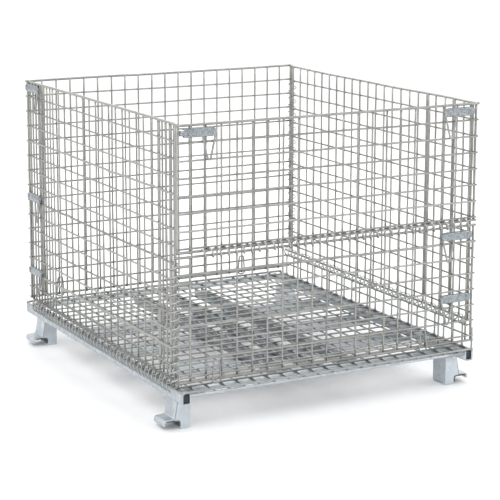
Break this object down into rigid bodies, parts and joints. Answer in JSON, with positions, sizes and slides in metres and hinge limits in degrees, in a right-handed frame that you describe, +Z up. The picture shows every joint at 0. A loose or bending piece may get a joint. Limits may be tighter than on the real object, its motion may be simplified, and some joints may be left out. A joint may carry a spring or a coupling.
{
  "type": "wire mesh container",
  "caption": "Folding, stackable welded-wire bulk container with four walls, a front drop gate, slide latches, spiral hinges, channel base and pressed saddle feet.",
  "frame": {"origin": "on the ground under the middle of the base", "axes": "+X along the front wall to the right seen from the front, +Y from the front gate to the back, +Z up"},
  "size_m": [1.081, 1.2192, 0.9042],
  "materials": {
    "wire": "satin zinc-plated round wire",
    "coil": "bright zinc-plated spiral wire",
    "sheet": "satin galvanised sheet"
  },
  "bodies": {
    "base": {"floor_mat": "wire", "mat_riser": "wire", "side_channel_left": "sheet", "side_channel_right": "sheet", "runner_1": "sheet", "runner_2": "sheet", "runner_3": "sheet", "edge_band_front": "sheet", "edge_band_back": "sheet", "cross_plate_1": "sheet", "cross_plate_2": "sheet", "cross_plate_3": "sheet", "foot_front_left": "sheet", "foot_front_right": "sheet", "foot_back_left": "sheet", "foot_back_right": "sheet", "left_base_coil": "coil", "right_base_coil": "coil"},
    "left_wall": {"left_wall": "wire", "left_strip_1": "sheet", "left_strip_2": "sheet", "left_strip_3": "sheet", "front_corner_coil": "coil"},
    "front_wall": {"front_wall": "wire", "front_loop_left": "wire", "front_loop_right": "wire", "gate_coil": "coil"},
    "drop_gate": {"drop_gate": "wire"},
    "right_wall": {"right_wall": "wire", "right_strip_1": "sheet", "right_strip_2": "sheet", "back_corner_coil": "coil"},
    "back_wall": {"back_wall": "wire", "back_loop_left": "wire", "back_loop_right": "wire"},
    "gate_latch_left": {"gate_latch_left_plate": "sheet", "gate_latch_left_bail": "wire"},
    "gate_latch_right": {"gate_latch_right_plate": "sheet", "gate_latch_right_bail": "wire"},
    "front_latch_middle": {"front_latch_middle_plate": "sheet", "front_latch_middle_bail": "wire"},
    "front_latch_low": {"front_latch_low_plate": "sheet", "front_latch_low_bail": "wire"},
    "left_latch_top": {"left_latch_top_plate": "sheet", "left_latch_top_bail": "wire"},
    "left_latch_middle": {"left_latch_middle_plate": "sheet", "left_latch_middle_bail": "wire"},
    "left_latch_low": {"left_latch_low_plate": "sheet", "left_latch_low_bail": "wire"}
  },
  "joints": [
    {"name": "left_wall_fold", "type": "hinge", "parent": "base", "child": "left_wall", "pos_m": [-0.494, 0, 0.14408], "axis": [0, 1, 0], "range_deg": [0, 90]},
    {"name": "front_wall_swing", "type": "hinge", "parent": "left_wall", "child": "front_wall", "pos_m": [-0.52, -0.5842, 0.13208], "axis": [0, 0, -1], "range_deg": [0, 270]},
    {"name": "gate_drop", "type": "hinge", "parent": "front_wall", "child": "drop_gate", "pos_m": [0, -0.5942, 0.52832], "axis": [-1, 0, 0], "range_deg": [-172, 0]},
    {"name": "right_wall_fold", "type": "hinge", "parent": "base", "child": "right_wall", "pos_m": [0.512, 0, 0.20966], "axis": [0, -1, 0], "range_deg": [0, 90]},
    {"name": "back_wall_swing", "type": "hinge", "parent": "right_wall", "child": "back_wall", "pos_m": [0.538, 0.5842, 0.13208], "axis": [0, 0, -1], "range_deg": [0, 270]},
    {"name": "gate_latch_left_slide", "type": "slide", "parent": "drop_gate", "child": "gate_latch_left", "axis": [1, 0, 0], "range_m": [0, 0.045]},
    {"name": "gate_latch_right_slide", "type": "slide", "parent": "drop_gate", "child": "gate_latch_right", "axis": [-1, 0, 0], "range_m": [0, 0.045]},
    {"name": "front_latch_middle_slide", "type": "slide", "parent": "front_wall", "child": "front_latch_middle", "axis": [-1, 0, 0], "range_m": [0, 0.045]},
    {"name": "front_latch_low_slide", "type": "slide", "parent": "front_wall", "child": "front_latch_low", "axis": [-1, 0, 0], "range_m": [0, 0.045]},
    {"name": "left_latch_top_slide", "type": "slide", "parent": "left_wall", "child": "left_latch_top", "axis": [0, -1, 0], "range_m": [0, 0.045]},
    {"name": "left_latch_middle_slide", "type": "slide", "parent": "left_wall", "child": "left_latch_middle", "axis": [0, -1, 0], "range_m": [0, 0.045]},
    {"name": "left_latch_low_slide", "type": "slide", "parent": "left_wall", "child": "left_latch_low", "axis": [0, -1, 0], "range_m": [0, 0.045]}
  ],
  "couplings": [
    {"joint": "front_wall_swing", "follows": "left_wall_fold", "ratio": 3},
    {"joint": "back_wall_swing", "follows": "right_wall_fold", "ratio": 3}
  ]
}
